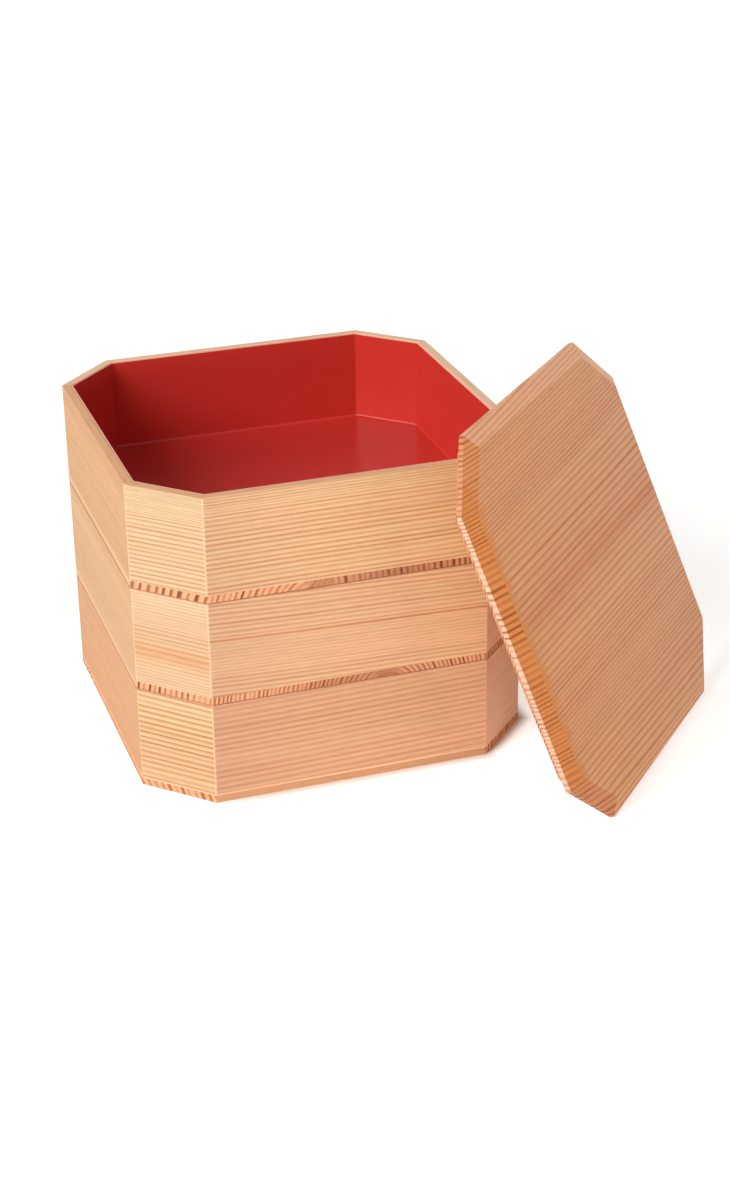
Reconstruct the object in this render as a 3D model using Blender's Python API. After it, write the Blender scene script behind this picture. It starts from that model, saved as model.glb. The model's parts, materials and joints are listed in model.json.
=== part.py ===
"""Square stacking lunch box with cut corners: three cedar tiers, red lacquer inside, and a leaning lid.

Metres, +Z up. The origin is the centre of the underside of the bottom tier. The front faces -Y.
Every tier is a ring of eight mitred boards on a flush base board. A register panel under each upper
tier and under the lid drops into the opening below it. The lid leans on the front right corner.
"""

import math

import bmesh
import bpy
from mathutils import Matrix, Vector

# Driving dimensions of the tiers
BOX_WIDTH = 0.195
CORNER_CUT = 0.029
TIER_HEIGHT = 0.0521
WALL = 0.0046
BASE_BOARD = 0.0038
LACQUER = 0.0007
LACQUER_FLOOR = 0.0015
REGISTER_DEPTH = 0.003

# Driving dimensions of the lid
LID_BOARD = 0.0063
LID_RIM = 0.0028
LID_BEVEL = 0.008
LID_PANEL = 0.0054

# How the lid stands: lean from the floor, turn from square to the corner, and shift along it
LID_LEAN = math.radians(66.4)
LID_TURN = math.radians(0.8)
LID_SHIFT = 0.017

# Clearances
GLUE_GAP = 0.00015
SEAT_GAP = 0.0003
REGISTER_CLEARANCE = 0.0005
LID_CLEARANCE = 0.002

# Rounded corners and eased edges
CORNER_ROUND = 0.0012
LACQUER_ROUND = 0.0015
FLOOR_COVE = 0.0013
RIM_EASE = 0.0004
JOINT_EASE = 0.0002
PANEL_EASE = 0.0008
ARC_STEPS = 4
COVE_STEPS = 4
EASE_STEPS = 2

# Names of the repeated pieces, in order round the box from the front
TIERS = ("bottom", "middle", "top")
SIDES = ("front", "right", "back", "left")
CORNERS = ("front_right", "back_right", "back_left", "front_left")

# The cut corner turns each wall by half a right angle, and the mitre halves that turn
QUARTER_TURN = math.pi / 2
CORNER_TURN = math.pi / 4
MITRE = CORNER_TURN / 2

# Distances of the side and corner faces from the centre, and their lengths
SIDE_REACH = BOX_WIDTH / 2
CORNER_REACH = (BOX_WIDTH - CORNER_CUT) / math.sqrt(2)
SIDE_LENGTH = BOX_WIDTH - 2 * CORNER_CUT
CORNER_LENGTH = CORNER_CUT * math.sqrt(2)

# Levels in a tier and insets from its outer face
WALL_FOOT = BASE_BOARD + GLUE_GAP
LINING_INSET = WALL + GLUE_GAP
OPENING_INSET = LINING_INSET + LACQUER
PANEL_INSET = OPENING_INSET + REGISTER_CLEARANCE
LID_PANEL_INSET = OPENING_INSET + LID_CLEARANCE
FLOOR_LEVEL = WALL_FOOT + LACQUER_FLOOR
TIER_PITCH = TIER_HEIGHT + SEAT_GAP
STACK_HEIGHT = TIER_PITCH * (len(TIERS) - 1) + TIER_HEIGHT


def clear_scene():
    """Remove every object, mesh and material of the open file."""
    for obj in list(bpy.data.objects):
        bpy.data.objects.remove(obj, do_unlink=True)
    for mesh in list(bpy.data.meshes):
        bpy.data.meshes.remove(mesh)
    for material in list(bpy.data.materials):
        bpy.data.materials.remove(material)


def make_material(name, colour, roughness):
    """A plain Principled material."""
    material = bpy.data.materials.new(name)
    material.use_nodes = True
    shader = material.node_tree.nodes["Principled BSDF"]
    shader.inputs["Base Color"].default_value = (*colour, 1.0)
    shader.inputs["Roughness"].default_value = roughness
    shader.inputs["Metallic"].default_value = 0.0
    return material


def mesh_from(bm, name, material):
    """Turn a finished bmesh into a mesh with outward faces, smooth but for its sharp edges."""
    bmesh.ops.recalc_face_normals(bm, faces=bm.faces)
    mesh = bpy.data.meshes.new(name)
    bm.to_mesh(mesh)
    bm.free()
    mesh.materials.append(material)
    mesh.shade_smooth()
    mesh.set_sharp_from_angle(angle=math.radians(20))
    return mesh


def place(name, mesh, parent, turn=0.0):
    """Put one named sub-part under the empty of its tier or lid."""
    obj = bpy.data.objects.new(name, mesh)
    obj.parent = parent
    obj.rotation_euler.z = turn
    bpy.context.collection.objects.link(obj)
    return obj


def make_empty(name, matrix):
    """An empty that carries the pieces of one loose unit."""
    empty = bpy.data.objects.new(name, None)
    empty.matrix_world = matrix
    bpy.context.collection.objects.link(empty)
    return empty


def octagon_corner(index, inset):
    """Corner of the cut-corner square inset by a distance, as the meeting point of two of its sides."""
    angle = -QUARTER_TURN + CORNER_TURN * index
    reach, next_reach = (SIDE_REACH, CORNER_REACH) if index % 2 == 0 else (CORNER_REACH, SIDE_REACH)
    out = Vector((math.cos(angle), math.sin(angle)))
    along = Vector((-out.y, out.x))
    run = (next_reach - inset - (reach - inset) * math.cos(CORNER_TURN)) / math.sin(CORNER_TURN)
    return out * (reach - inset) + along * run


def octagon_loop(inset, level, radius):
    """Rounded outline of the cut-corner square, inset by a distance, at one level."""
    points = []
    for index in range(8):
        centre = octagon_corner(index, inset + radius)
        start = -QUARTER_TURN + CORNER_TURN * index
        for step in range(ARC_STEPS + 1):
            angle = start + CORNER_TURN * step / ARC_STEPS
            points.append((centre.x + radius * math.cos(angle), centre.y + radius * math.sin(angle), level))
    return points


def loft(name, loops, material):
    """Closed solid through a row of outlines with equal point counts, capped at both ends."""
    bm = bmesh.new()
    rings = [[bm.verts.new(point) for point in loop] for loop in loops]
    for lower, upper in zip(rings, rings[1:]):
        for i in range(len(lower)):
            j = (i + 1) % len(lower)
            bm.faces.new((lower[i], lower[j], upper[j], upper[i]))
    bm.faces.new(reversed(rings[0]))
    bm.faces.new(rings[-1])
    return mesh_from(bm, name, material)


def board_outline(reach, length):
    """Plan of one mitred wall board that faces -Y: rounded outer corners cut on the mitre."""
    setback = GLUE_GAP / 2 / math.cos(MITRE)
    arc_end = length / 2 - CORNER_ROUND * math.tan(MITRE) - setback
    inner_end = length / 2 - WALL * math.tan(MITRE) - setback
    right = []
    for step in range(ARC_STEPS // 2 + 1):
        angle = CORNER_TURN * step / ARC_STEPS
        x = arc_end + CORNER_ROUND * math.sin(angle)
        y = -reach + CORNER_ROUND * (1 - math.cos(angle))
        right.append((x, y))
    right.append((inner_end, -reach + WALL))
    left = [(-x, y) for x, y in reversed(right)]
    return right + left


def wall_board(name, reach, length, material):
    """One mitred wall board, its rim and foot edges marked for easing."""
    bm = bmesh.new()
    outline = board_outline(reach, length)
    foot = [bm.verts.new((x, y, WALL_FOOT)) for x, y in outline]
    rim = [bm.verts.new((x, y, TIER_HEIGHT)) for x, y in outline]
    bm.faces.new(reversed(foot))
    bm.faces.new(rim)
    count = len(outline)
    for i in range(count):
        j = (i + 1) % count
        bm.faces.new((foot[i], foot[j], rim[j], rim[i]))
    mark_eased_edges(bm, foot, rim)
    return mesh_from(bm, name, material)


def mark_eased_edges(bm, foot, rim):
    """Weight the long rim edges in full and the outer foot edge less; the mitred ends stay sharp."""
    weight = bm.edges.layers.float.new("bevel_weight_edge")
    inner_right = len(rim) // 2 - 1
    inner_left = inner_right + 1
    for i in range(len(rim)):
        j = (i + 1) % len(rim)
        is_mitre = i == inner_right - 1 or i == inner_left
        if is_mitre:
            continue
        bm.edges.get((rim[i], rim[j]))[weight] = 1.0
        if i != inner_right:
            bm.edges.get((foot[i], foot[j]))[weight] = JOINT_EASE / RIM_EASE


def ease_board(obj):
    """Round the marked edges of a wall board."""
    bevel = obj.modifiers.new("eased_edges", "BEVEL")
    bevel.limit_method = "WEIGHT"
    bevel.offset_type = "WIDTH"
    bevel.width = RIM_EASE
    bevel.segments = EASE_STEPS


def base_board(name, material):
    """Base plate flush with the walls, eased under its foot and at the glue line."""
    loops = [
        octagon_loop(RIM_EASE, 0.0, CORNER_ROUND),
        octagon_loop(0.0, RIM_EASE, CORNER_ROUND),
        octagon_loop(0.0, BASE_BOARD - JOINT_EASE, CORNER_ROUND),
        octagon_loop(JOINT_EASE, BASE_BOARD, CORNER_ROUND),
    ]
    return loft(name, loops, material)


def lacquer_lining(name, material):
    """Lacquer coat of one tier: a thin open cup with a rounded lip and a coved floor edge."""
    lip = LACQUER / 2
    loops = [
        octagon_loop(LINING_INSET, WALL_FOOT, LACQUER_ROUND),
        octagon_loop(LINING_INSET, TIER_HEIGHT - lip, LACQUER_ROUND),
        octagon_loop(LINING_INSET + lip, TIER_HEIGHT, LACQUER_ROUND),
        octagon_loop(OPENING_INSET, TIER_HEIGHT - lip, LACQUER_ROUND),
    ]
    for step in range(COVE_STEPS + 1):
        angle = QUARTER_TURN * step / COVE_STEPS
        inset = OPENING_INSET + FLOOR_COVE * (1 - math.cos(angle))
        loops.append(octagon_loop(inset, FLOOR_LEVEL + FLOOR_COVE * (1 - math.sin(angle)), LACQUER_ROUND))
    return loft(name, loops, material)


def register_panel(name, inset, depth, material):
    """Panel glued under a base board or the lid, sized to drop into the opening below."""
    loops = [
        octagon_loop(inset + PANEL_EASE, -GLUE_GAP - depth, LACQUER_ROUND),
        octagon_loop(inset, -GLUE_GAP - depth + PANEL_EASE, LACQUER_ROUND),
        octagon_loop(inset, -GLUE_GAP, LACQUER_ROUND),
    ]
    return loft(name, loops, material)


def lid_board(name, material):
    """Lid board: an upright rim under a wide bevel that rises to the flat top."""
    loops = [
        octagon_loop(RIM_EASE, 0.0, CORNER_ROUND),
        octagon_loop(0.0, RIM_EASE, CORNER_ROUND),
        octagon_loop(0.0, LID_RIM, CORNER_ROUND),
        octagon_loop(LID_BEVEL, LID_BOARD, CORNER_ROUND),
    ]
    return loft(name, loops, material)


def lid_pose():
    """Place of the lid: its lower edge on the floor, its panel against the front right corner.

    The panel rests on the top rim, or with its upper edge on the corner board under a stack that the
    lid doesn't reach over.
    """
    turn = CORNER_TURN + LID_TURN
    along = Vector((math.cos(turn), math.sin(turn), 0.0))
    outward = Vector((along.y, -along.x, 0.0))
    upward = Vector((0.0, 0.0, math.sin(LID_LEAN))) - outward * math.cos(LID_LEAN)
    rim_corners = [octagon_corner(index, 0.0).to_3d() for index in (0, 1)]
    rim_reach = max(corner.dot(outward) for corner in rim_corners)
    rim_middle = (rim_corners[0] + rim_corners[1]) / 2
    # The eased lower edge lets the sharp edge of the underside reach a little below the floor
    foot_level = -RIM_EASE * min(math.sin(LID_LEAN), math.cos(LID_LEAN))
    stand_off = LID_PANEL + GLUE_GAP + SEAT_GAP
    rim_run = (STACK_HEIGHT - foot_level + stand_off * math.cos(LID_LEAN)) / math.sin(LID_LEAN)
    panel_run = BOX_WIDTH - LID_PANEL_INSET - PANEL_EASE
    contact_run = min(rim_run, panel_run)
    foot_reach = rim_reach + contact_run * math.cos(LID_LEAN) + stand_off * math.sin(LID_LEAN)
    foot = outward * foot_reach + along * (rim_middle.dot(along) + LID_SHIFT)
    foot.z = foot_level
    rotation = Matrix((along, upward, along.cross(upward))).transposed().to_4x4()
    return Matrix.Translation(foot + upward * SIDE_REACH) @ rotation


def build_tier(tier, level, meshes):
    """One tier: eight mitred boards, base board, lacquer and, above the bottom tier, a register panel."""
    carrier = make_empty(f"{tier}_tier", Matrix.Translation((0.0, 0.0, level)))
    for index, side in enumerate(SIDES):
        ease_board(place(f"{tier}_{side}_board", meshes["side"], carrier, QUARTER_TURN * index))
    for index, corner in enumerate(CORNERS):
        turn = CORNER_TURN + QUARTER_TURN * index
        ease_board(place(f"{tier}_{corner}_corner", meshes["corner"], carrier, turn))
    place(f"{tier}_base_board", meshes["base"], carrier)
    place(f"{tier}_lacquer_lining", meshes["lining"], carrier)
    if level > 0:
        place(f"{tier}_register_panel", meshes["register"], carrier)


def build_lid(cedar_lid, cedar_panel):
    """The lid board and its register panel, leaning on the stack."""
    carrier = make_empty("lid", lid_pose())
    place("lid_board", lid_board("lid_board", cedar_lid), carrier)
    panel = register_panel("lid_register_panel", LID_PANEL_INSET, LID_PANEL, cedar_panel)
    place("lid_register_panel", panel, carrier)


def main():
    clear_scene()
    cedar_side = make_material("cedar_side", (0.72, 0.45, 0.27), 0.55)
    cedar_corner = make_material("cedar_corner", (0.76, 0.50, 0.31), 0.55)
    cedar_base = make_material("cedar_base", (0.62, 0.36, 0.20), 0.60)
    cedar_lid = make_material("cedar_lid", (0.60, 0.38, 0.22), 0.50)
    cedar_panel = make_material("cedar_panel", (0.70, 0.44, 0.27), 0.60)
    red_lacquer = make_material("red_lacquer", (0.55, 0.03, 0.025), 0.30)
    meshes = {
        "side": wall_board("side_board", SIDE_REACH, SIDE_LENGTH, cedar_side),
        "corner": wall_board("corner_board", CORNER_REACH, CORNER_LENGTH, cedar_corner),
        "base": base_board("base_board", cedar_base),
        "lining": lacquer_lining("lacquer_lining", red_lacquer),
        "register": register_panel("register_panel", PANEL_INSET, REGISTER_DEPTH, cedar_panel),
    }
    for index, tier in enumerate(TIERS):
        build_tier(tier, TIER_PITCH * index, meshes)
    build_lid(cedar_lid, cedar_panel)


main()
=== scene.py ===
"""Looks of the tiered lunch box: straight-grained cedar boards, red lacquer inside and a bevelled lid."""

import json
import math

import bmesh
import bpy
from mathutils import Matrix, Vector


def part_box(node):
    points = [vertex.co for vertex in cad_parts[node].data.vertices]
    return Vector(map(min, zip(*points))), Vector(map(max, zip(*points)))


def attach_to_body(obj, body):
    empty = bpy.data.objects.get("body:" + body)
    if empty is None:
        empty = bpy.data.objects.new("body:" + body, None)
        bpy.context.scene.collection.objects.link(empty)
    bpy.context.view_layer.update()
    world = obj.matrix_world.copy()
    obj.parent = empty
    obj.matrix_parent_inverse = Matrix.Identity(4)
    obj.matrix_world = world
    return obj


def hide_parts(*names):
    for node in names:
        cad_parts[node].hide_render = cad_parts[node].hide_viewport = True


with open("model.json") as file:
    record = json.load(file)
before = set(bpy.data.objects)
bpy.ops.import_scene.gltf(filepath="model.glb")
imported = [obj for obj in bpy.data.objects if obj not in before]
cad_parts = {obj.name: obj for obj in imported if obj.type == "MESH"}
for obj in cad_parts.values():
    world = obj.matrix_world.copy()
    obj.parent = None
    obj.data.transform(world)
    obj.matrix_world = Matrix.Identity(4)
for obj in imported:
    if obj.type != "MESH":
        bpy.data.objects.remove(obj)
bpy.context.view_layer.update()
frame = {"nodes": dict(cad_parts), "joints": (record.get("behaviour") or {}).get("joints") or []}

# Names of the repeated pieces, in order round the box from the front
TIERS = ("bottom", "middle", "top")
SIDES = ("front", "right", "back", "left")
CORNERS = ("front_right", "back_right", "back_left", "front_left")

QUARTER_TURN = math.pi / 2
CORNER_TURN = math.pi / 4
MITRE = CORNER_TURN / 2


def reach(node, direction):
    """How far a solid of the frame reaches along a direction."""
    return max(vertex.co.dot(direction) for vertex in frame["nodes"][node].data.vertices)


def box_size(node):
    """Size of a solid's box along X, Y and Z."""
    low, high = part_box(node)
    return Vector(high) - Vector(low)


# Sizes read from the frame
SIDE_REACH = reach("bottom_base_board", Vector((1, 0, 0)))
CORNER_REACH = reach("bottom_base_board", Vector((1, -1, 0)).normalized())
BOX_WIDTH = 2 * SIDE_REACH
CORNER_CUT = BOX_WIDTH - CORNER_REACH * math.sqrt(2)
SIDE_LENGTH = BOX_WIDTH - 2 * CORNER_CUT
CORNER_LENGTH = CORNER_CUT * math.sqrt(2)
WALL = box_size("bottom_front_board").y
BASE_BOARD = box_size("bottom_base_board").z
TIER_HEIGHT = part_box("bottom_front_board")[1][2]
TIER_LEVEL = {tier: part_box(f"{tier}_base_board")[0][2] for tier in TIERS}
REGISTER_DEPTH = box_size("top_register_panel").z
PANEL_INSET = SIDE_REACH - reach("top_register_panel", Vector((1, 0, 0)))

# Sizes of the finish, in metres
LACQUER = 0.0007
LACQUER_FLOOR = 0.0015
CORNER_ROUND = 0.0012
LACQUER_ROUND = 0.0015
FLOOR_COVE = 0.0013
RIM_EASE = 0.0004
OUTER_EASE = 0.0002
JOINT_EASE = 0.00012
PANEL_EASE = 0.0008
LID_RIM = 0.0028
LID_BEVEL = 0.008
ARC_STEPS = 8
COVE_STEPS = 8
EASE_STEPS = 3

# Edges that turn by less than these angles are shaded smooth
BOARD_SMOOTH = math.radians(24)
BASE_SMOOTH = math.radians(35)
LINING_SMOOTH = math.radians(40)
LID_SMOOTH = math.radians(12)


# Mesh tools

def octagon_corner(index, inset):
    """Corner of the cut-corner square inset by a distance, as the meeting point of two of its sides."""
    angle = -QUARTER_TURN + CORNER_TURN * index
    near, far = (SIDE_REACH, CORNER_REACH) if index % 2 == 0 else (CORNER_REACH, SIDE_REACH)
    out = Vector((math.cos(angle), math.sin(angle)))
    along = Vector((-out.y, out.x))
    run = (far - inset - (near - inset) * math.cos(CORNER_TURN)) / math.sin(CORNER_TURN)
    return out * (near - inset) + along * run


def octagon_loop(inset, level, radius):
    """Rounded outline of the cut-corner square, inset by a distance, at one level."""
    points = []
    for index in range(8):
        centre = octagon_corner(index, inset + radius)
        start = -QUARTER_TURN + CORNER_TURN * index
        for step in range(ARC_STEPS + 1):
            angle = start + CORNER_TURN * step / ARC_STEPS
            points.append((centre.x + radius * math.cos(angle), centre.y + radius * math.sin(angle), level))
    return points


def finish_mesh(bm, name, material, smooth_angle):
    """Turn a bmesh into an object with outward faces, smooth but for its sharp edges."""
    bmesh.ops.recalc_face_normals(bm, faces=bm.faces)
    mesh = bpy.data.meshes.new(name)
    bm.to_mesh(mesh)
    bm.free()
    mesh.materials.append(material)
    mesh.shade_smooth()
    mesh.set_sharp_from_angle(angle=smooth_angle)
    obj = bpy.data.objects.new(name, mesh)
    bpy.context.scene.collection.objects.link(obj)
    return obj


def loft(name, loops, material, smooth_angle=BOARD_SMOOTH):
    """Closed solid through a row of outlines with equal point counts, capped at both ends."""
    bm = bmesh.new()
    rings = [[bm.verts.new(point) for point in loop] for loop in loops]
    for lower, upper in zip(rings, rings[1:]):
        for i in range(len(lower)):
            j = (i + 1) % len(lower)
            bm.faces.new((lower[i], lower[j], upper[j], upper[i]))
    bm.faces.new(reversed(rings[0]))
    bm.faces.new(rings[-1])
    return finish_mesh(bm, name, material, smooth_angle)


def attach(obj, matrix, body, slot, *nodes):
    """Put a piece in its place on its body, in the stead of its solids."""
    obj.matrix_world = matrix
    bpy.context.view_layer.update()
    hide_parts(*nodes)
    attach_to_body(obj, body)


# Shader tools

class Graph:
    """Adds shader nodes to one tree and links them."""

    def __init__(self, tree):
        self.tree = tree

    def add(self, kind, **settings):
        node = self.tree.nodes.new(kind)
        for name, value in settings.items():
            setattr(node, name, value)
        return node

    def feed(self, socket, value):
        if isinstance(value, bpy.types.NodeSocket):
            self.tree.links.new(value, socket)
        elif value is not None:
            socket.default_value = value

    def math(self, operation, first, second=None, third=None):
        node = self.add("ShaderNodeMath", operation=operation)
        for socket, value in zip(node.inputs, (first, second, third)):
            self.feed(socket, value)
        return node.outputs[0]

    def inverse(self, value):
        """1 less the value."""
        return self.math("SUBTRACT", 1.0, value)

    def smooth(self, value, low, high):
        """0 below low, 1 above high, smooth between."""
        node = self.add("ShaderNodeMapRange", interpolation_type="SMOOTHSTEP")
        self.feed(node.inputs["Value"], value)
        self.feed(node.inputs["From Min"], low)
        self.feed(node.inputs["From Max"], high)
        return node.outputs[0]

    def below(self, value, low, high):
        """1 below low, 0 above high, smooth between."""
        return self.inverse(self.smooth(value, low, high))

    def bell(self, value, middle, width):
        """1 at the middle, falling off to both sides."""
        off = self.math("DIVIDE", self.math("SUBTRACT", value, middle), width)
        return self.math("EXPONENT", self.math("MULTIPLY", self.math("MULTIPLY", off, off), -1.0))

    def vector(self, x, y, z):
        node = self.add("ShaderNodeCombineXYZ")
        for socket, value in zip(node.inputs, (x, y, z)):
            self.feed(socket, value)
        return node.outputs[0]

    def split(self, vector):
        node = self.add("ShaderNodeSeparateXYZ")
        self.feed(node.inputs[0], vector)
        return tuple(node.outputs)

    def length(self, first, second):
        """Length of the hypotenuse over two sides."""
        square = self.math("MULTIPLY", second, second)
        return self.math("SQRT", self.math("MULTIPLY_ADD", first, first, square))

    def soft_ramp(self, value):
        """0 well below zero, the value itself well above it, smooth between."""
        tail = self.math("EXPONENT", self.math("MULTIPLY", self.math("ABSOLUTE", value), -1.0))
        rounding = self.math("LOGARITHM", self.math("ADD", tail, 1.0), math.e)
        return self.math("ADD", self.math("MAXIMUM", value, 0.0), rounding)

    def scaled(self, vector, factors):
        node = self.add("ShaderNodeVectorMath", operation="MULTIPLY")
        self.feed(node.inputs[0], vector)
        node.inputs[1].default_value = factors
        return node.outputs[0]

    def noise(self, vector, seed, detail):
        """Noise of unit scale, moved by the seed."""
        node = self.add("ShaderNodeTexNoise", noise_dimensions="4D")
        self.feed(node.inputs["Vector"], vector)
        self.feed(node.inputs["W"], seed)
        node.inputs["Scale"].default_value = 1.0
        node.inputs["Detail"].default_value = detail
        return node.outputs["Fac"]

    def mix(self, factor, first, second, blend="MIX"):
        node = self.add("ShaderNodeMix", data_type="RGBA", blend_type=blend)
        self.feed(node.inputs["Factor"], factor)
        self.feed(node.inputs["A"], first)
        self.feed(node.inputs["B"], second)
        return node.outputs["Result"]


def colour(red, green, blue):
    """Linear colour from 8-bit screen values."""
    return tuple(channel_to_linear(c / 255) for c in (red, green, blue)) + (1.0,)


def channel_to_linear(c):
    return c / 12.92 if c <= 0.04045 else ((c + 0.055) / 1.055) ** 2.4


def make_group_inputs(tree, sockets):
    for name, kind, value in sockets:
        socket = tree.interface.new_socket(name, in_out="INPUT", socket_type=kind)
        socket.default_value = value


# Cedar: growth rings round a pith line along local X, seen as lines on the faces and hatching on the ends

FLOAT, VECTOR, TINT = "NodeSocketFloat", "NodeSocketVector", "NodeSocketColor"
# Some inputs paint light and shade into the colour: Warm, Rise, Slant Pale, End Pale, Far Pale and Rim Tint
# paint light, Seam with Foot and Joint paints shade in the seams between tiers, and the pale edges are partly
# wear, partly painted highlight
CEDAR_INPUTS = (
    ("Seed", FLOAT, 0.0),
    ("Pith Y", FLOAT, 0.0),
    ("Pith Z", FLOAT, -0.3),
    ("Spacing", FLOAT, 0.0014),
    ("Far Lean", FLOAT, 1.0),
    ("Origin", FLOAT, 0.0),
    ("Slope", FLOAT, 0.0),
    ("Fan", FLOAT, 0.0),
    ("First Low", FLOAT, 0.0),
    ("First High", FLOAT, 1.0),
    ("First Gain", FLOAT, 0.0),
    ("Second Low", FLOAT, 0.0),
    ("Second High", FLOAT, 1.0),
    ("Second Gain", FLOAT, 0.0),
    ("Unevenness", FLOAT, 2.5),
    ("Line", FLOAT, 0.6),
    ("Line Start", FLOAT, 0.1),
    ("Fade", FLOAT, 0.5),
    ("Pink", FLOAT, 0.6),
    ("Warm", VECTOR, (0.0, 0.0, 0.0)),
    ("Rise", FLOAT, 0.0),
    ("Stain", FLOAT, 0.0),
    ("Stain At", FLOAT, 0.0),
    ("Stain Width", FLOAT, 0.001),
    ("End Pale", FLOAT, 0.0),
    ("Far Pale", FLOAT, 0.0),
    ("Creep From", FLOAT, 1.0),
    ("Shade", FLOAT, 0.0),
    ("Shade At", FLOAT, 0.0),
    ("Shade Width", FLOAT, 0.01),
    ("End Start", FLOAT, 0.6),
    ("Half Length", FLOAT, 1.0),
    ("Rim", FLOAT, 1.0),
    ("Foot", FLOAT, -1.0),
    ("Sill", FLOAT, -1.0),
    ("Joint", FLOAT, 0.0),
    ("Slant Pale", FLOAT, 0.0),
    ("Rosy Foot", FLOAT, 0.0),
    ("WearAndHighlight", FLOAT, 0.4),
    ("Early", TINT, (0.8, 0.5, 0.3, 1.0)),
    ("Early Pink", TINT, (0.8, 0.45, 0.3, 1.0)),
    ("Late", TINT, (0.6, 0.3, 0.15, 1.0)),
    ("End", TINT, (0.6, 0.28, 0.1, 1.0)),
    ("End Line", TINT, (0.25, 0.08, 0.03, 1.0)),
    ("WornAndLit", TINT, (0.95, 0.75, 0.55, 1.0)),
    ("Seam", TINT, (0.3, 0.1, 0.05, 1.0)),
    ("Stained", TINT, (0.5, 0.2, 0.1, 1.0)),
    ("Rosy", TINT, (0.6, 0.25, 0.15, 1.0)),
    ("Rim Tint", TINT, (0.9, 0.7, 0.5, 1.0)),
)

# Fineness of the noise patterns per metre, along the board first
WANDER_SCALE = (6.0, 9.0, 9.0)
PATCHY_SCALE = (14.0, 420.0, 420.0)
FIBRE_SCALE = (30.0, 1100.0, 1100.0)
FLECK_SCALE = (160.0, 1300.0, 1300.0)
STREAK_SCALE = (5.0, 230.0, 230.0)
PINK_SCALE = (3.0, 34.0, 34.0)
PORE_SCALE = (300.0, 1900.0, 1900.0)
RIM_PATCH_SCALE = (50.0, 260.0, 50.0)
SWING_SCALE = 60.0
JITTER_SCALE = 340.0

# Where each mark begins and ends, in metres
BAND_EDGE = 0.0012
LEAN_EDGE = 0.006
WANDER_REACH = 0.003
HEART_SIDE = (0.003, 0.009)
HEART_RADIUS = (0.015, 0.02)
ROSY_EDGE = (-0.076, -0.064)
CREEP_WANDER = 0.016
CREEP_EDGE = 0.008
CORNER_WEAR_AND_HIGHLIGHT = (0.0001, 0.0008)
RIM_WEAR_AND_HIGHLIGHT = (0.0003, 0.0006)
RIM_FACE = 0.0005
JOINT_LINE = (0.0002, 0.0006)
SILL_LINE = (0.0005, 0.0013)
SEAM_LINE = (0.0002, 0.0007)

# Where a ring's line is full and where it ends, on faces and on end grain, as shares of the ring
LINE_FULL = 0.68
LINE_FALL = (0.78, 1.0)
END_RISE = (0.36, 0.68)
END_FALL = (0.9, 1.0)

# How far a surface has to turn to a direction before it counts as facing it
SLANT_TURN = (0.2, 0.35)
END_TURN = 0.2
CUT_END_TURN = (0.6, 0.9)
FAR_TURN = (0.1, 0.25)
INNER_TURN = (0.1, 0.5)
OUTER_TURN = (-0.3, -0.05)
RIM_TURN = (0.6, 0.9)

# How strongly each mark covers the wood under it
SLANT_BRIGHT = 0.24
SLANT_LIT = 0.2
HEART_SHADE = 0.3
HEART_FADE = 0.6
PORE_SHARE = 0.25
CREEP_SHARE = 0.85
RIM_SHARE = 0.85
RIM_PATCH_SHARE = 0.25
SILL_SHARE = 0.5
SEAM_SHARE = 0.55


class CedarGraph(Graph):
    """Graph of the cedar group, with the board's settings, own coordinates and facing at hand."""

    def __init__(self, tree):
        super().__init__(tree)
        self.given = self.add("NodeGroupInput").outputs
        place = self.add("ShaderNodeTexCoord")
        self.spot = place.outputs["Object"]
        self.x, self.y, self.z = self.split(self.spot)
        self.turned = self.split(place.outputs["Normal"])
        self.seed = self.given["Seed"]

    def pattern(self, scale, seed_step=0.0, detail=1.0):
        """Noise in the board's own coordinates."""
        seed = self.math("ADD", self.seed, seed_step) if seed_step else self.seed
        return self.noise(self.scaled(self.spot, scale), seed, detail)


def pith_distance(g):
    """Distance beside the pith, distance from it, and that distance counted from the board's own zero."""
    given = g.given
    beside = g.math("SUBTRACT", g.y, given["Pith Y"])
    lean = g.smooth(beside, -LEAN_EDGE, LEAN_EDGE)
    lean = g.math("MULTIPLY_ADD", lean, g.inverse(given["Far Lean"]), given["Far Lean"])
    radius = g.length(beside, g.math("MULTIPLY", g.math("SUBTRACT", g.z, given["Pith Z"]), lean))
    away = g.math("SUBTRACT", radius, given["Origin"])
    away = g.math("MULTIPLY_ADD", g.x, given["Slope"], away)
    away = g.math("DIVIDE", away, g.math("MULTIPLY_ADD", g.x, given["Fan"], 1.0))
    wander = g.math("SUBTRACT", g.pattern(WANDER_SCALE), 0.5)
    return beside, radius, g.math("MULTIPLY_ADD", wander, WANDER_REACH, away)


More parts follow.
